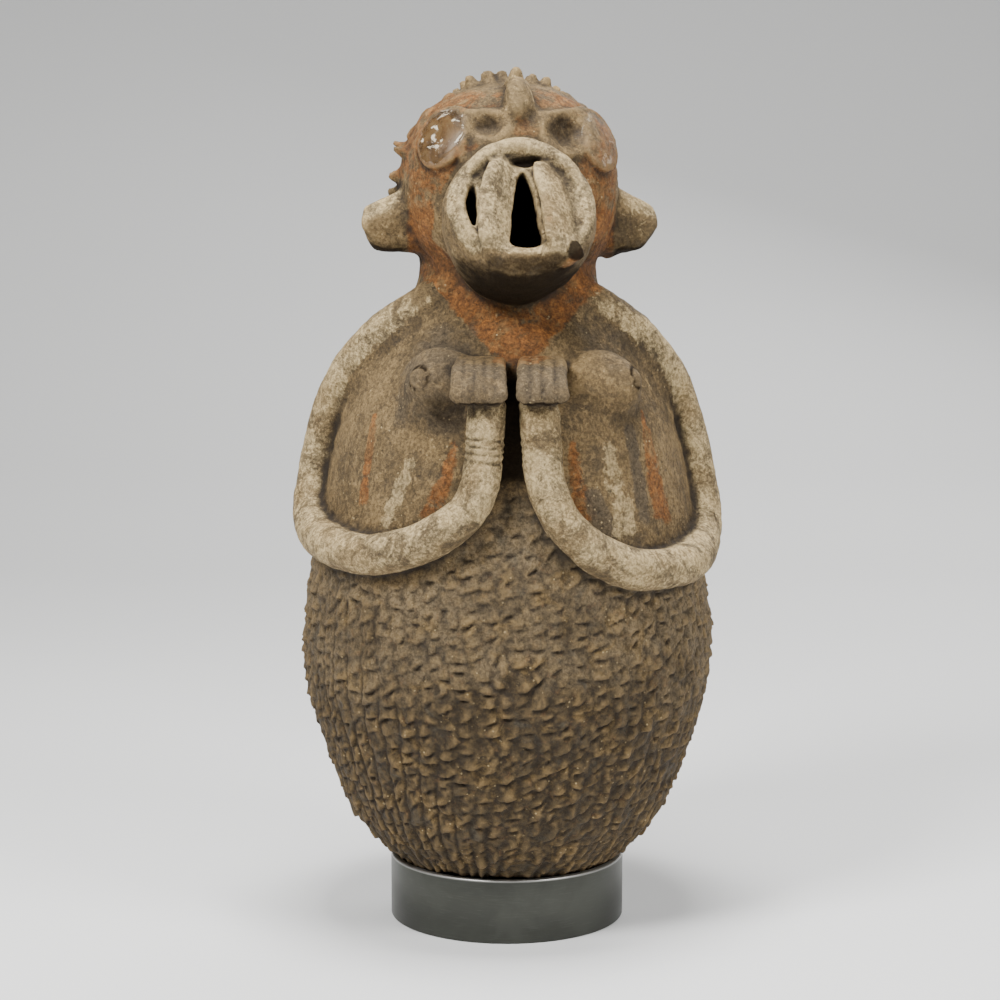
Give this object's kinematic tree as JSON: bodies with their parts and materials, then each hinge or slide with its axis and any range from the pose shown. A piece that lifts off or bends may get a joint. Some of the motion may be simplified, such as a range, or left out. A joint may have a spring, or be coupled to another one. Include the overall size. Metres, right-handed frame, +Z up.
{
  "type": "figurative vessel",
  "caption": "Hollow fired-clay vessel shaped as a figure with raised hands, its open mouth the only opening, its round scaled base held upright in a steel ring.",
  "frame": {"origin": "middle of the plan, on the surface that the ring stands on", "axes": "+Z up along the vessel's axis, the figure's front toward -Y, its left arm toward +X"},
  "size_m": [0.2002, 0.2011, 0.3967],
  "materials": {
    "fired_clay": "matt hand-built clay with worn ochre and pale slip",
    "stand_steel": "dark satin with a bright upper rim"
  },
  "bodies": {
    "root": {"vessel": "fired_clay", "stand_ring": "stand_steel"}
  },
  "joints": []
}
